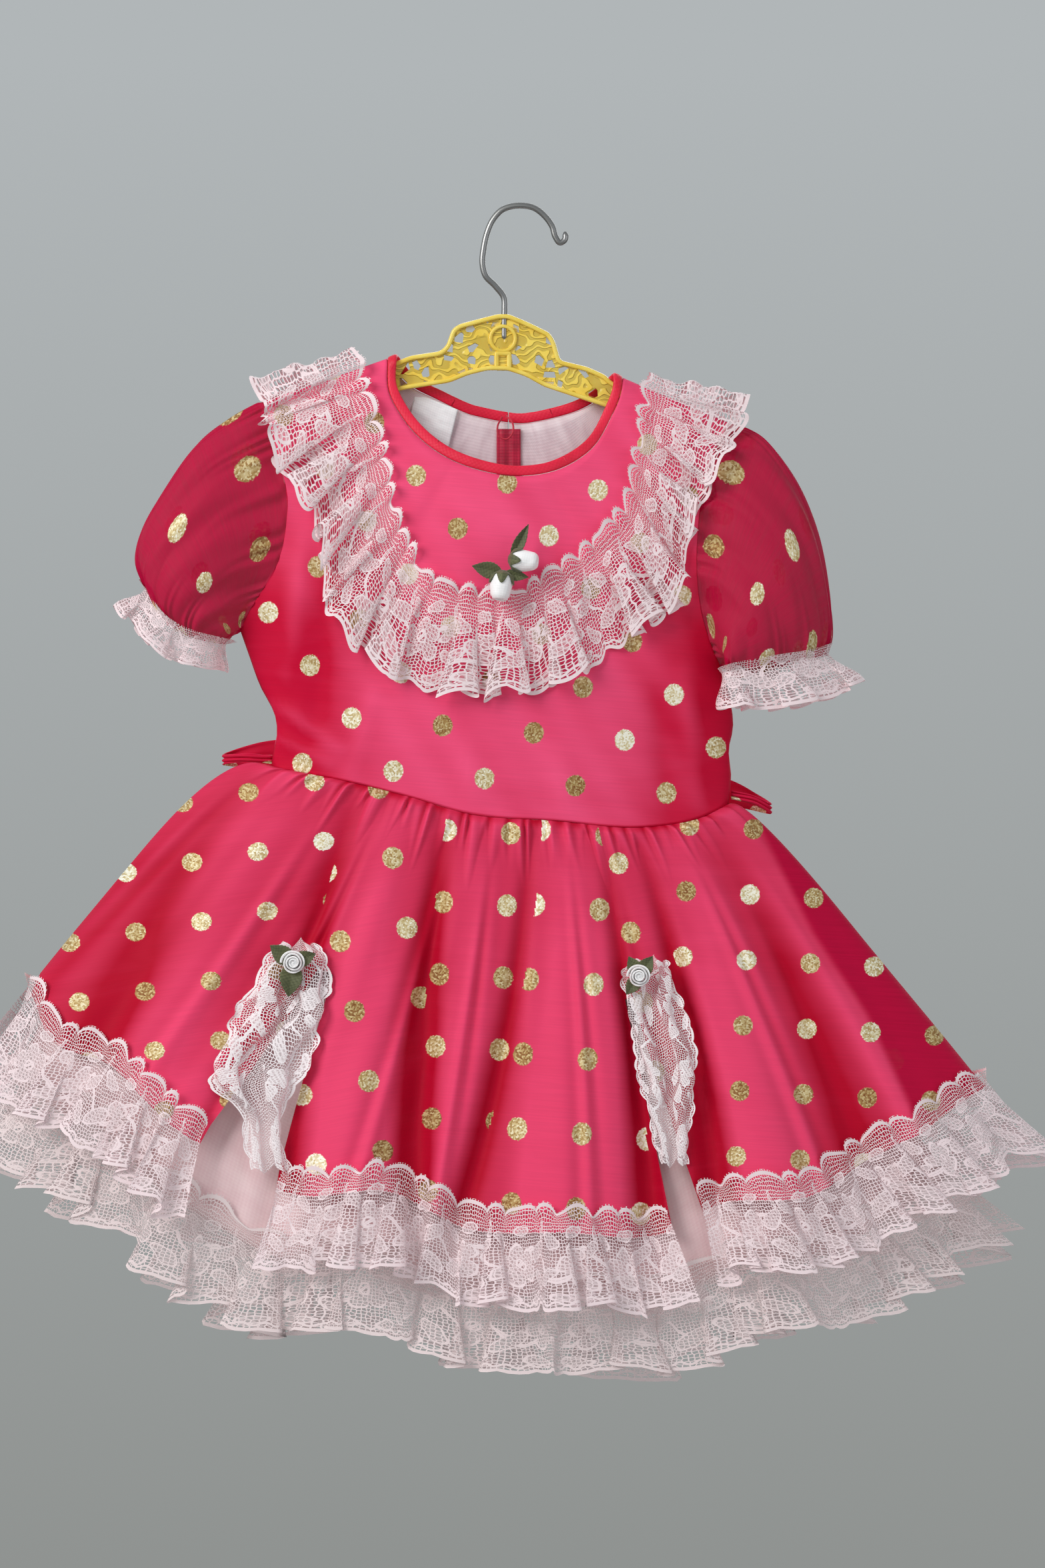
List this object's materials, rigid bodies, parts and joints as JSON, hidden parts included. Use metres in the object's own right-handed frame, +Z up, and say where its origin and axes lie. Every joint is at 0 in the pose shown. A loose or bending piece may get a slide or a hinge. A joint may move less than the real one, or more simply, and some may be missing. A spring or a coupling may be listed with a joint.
{
  "type": "toddler's party dress on a child's hanger",
  "caption": "Short puff-sleeved child's party dress with a lace collar, a caught-up overskirt and a laced underskirt, hung on a small moulded hanger with a wire hook.",
  "frame": {"origin": "inner top of the hanger hook's wire, where a rail or a wall hook carries it", "axes": "+Z up, +X to the right seen from the front, -Y towards the front of the dress"},
  "size_m": [0.5721, 0.1575, 0.6426],
  "materials": {
    "hot_pink_organza": "sheer organza over pale satin, dotted",
    "crimson_organza": "sheer organza, unlined, dotted",
    "red_binding": "bias binding",
    "white_lace": "gathered net lace",
    "pale_pink_satin": "satin",
    "white_lining": "plain woven lining",
    "white_ribbon": "satin ribbon",
    "green_ribbon": "ribbon leaves",
    "yellow_plastic": "moulded",
    "steel_wire": "drawn wire",
    "white_plastic": "button"
  },
  "bodies": {
    "root": {"bodice_front": "hot_pink_organza", "bodice_back_left": "hot_pink_organza", "bodice_back_right": "hot_pink_organza", "back_lining_left": "white_lining", "back_lining_right": "white_lining", "neck_binding": "red_binding", "placket": "red_binding", "label": "white_lining", "collar_lace": "white_lace", "sleeve_left": "crimson_organza", "sleeve_right": "crimson_organza", "cuff_lace_left": "white_lace", "cuff_lace_right": "white_lace", "overskirt_front": "hot_pink_organza", "overskirt_back": "hot_pink_organza", "overskirt_lace_left": "white_lace", "overskirt_lace_centre": "white_lace", "overskirt_lace_right": "white_lace", "overskirt_lace_back": "white_lace", "swag_lace_left": "white_lace", "swag_lace_right": "white_lace", "underskirt_front": "pale_pink_satin", "underskirt_back": "pale_pink_satin", "underskirt_lace_front": "white_lace", "underskirt_lace_back": "white_lace", "sash_left": "hot_pink_organza", "sash_right": "hot_pink_organza", "bow_loop_left": "hot_pink_organza", "bow_loop_right": "hot_pink_organza", "bow_tail_left": "hot_pink_organza", "bow_tail_right": "hot_pink_organza", "bow_knot": "hot_pink_organza", "rose_left": "white_ribbon", "rose_right": "white_ribbon", "bud_upper": "white_ribbon", "bud_lower": "white_ribbon", "rose_leaves_left": "green_ribbon", "rose_leaves_right": "green_ribbon", "bud_leaves_upper": "green_ribbon", "bud_leaves_lower": "green_ribbon", "button_1": "white_plastic", "button_2": "white_plastic", "button_3": "white_plastic", "hanger_frame": "yellow_plastic", "hanger_hook": "steel_wire"}
  },
  "joints": []
}
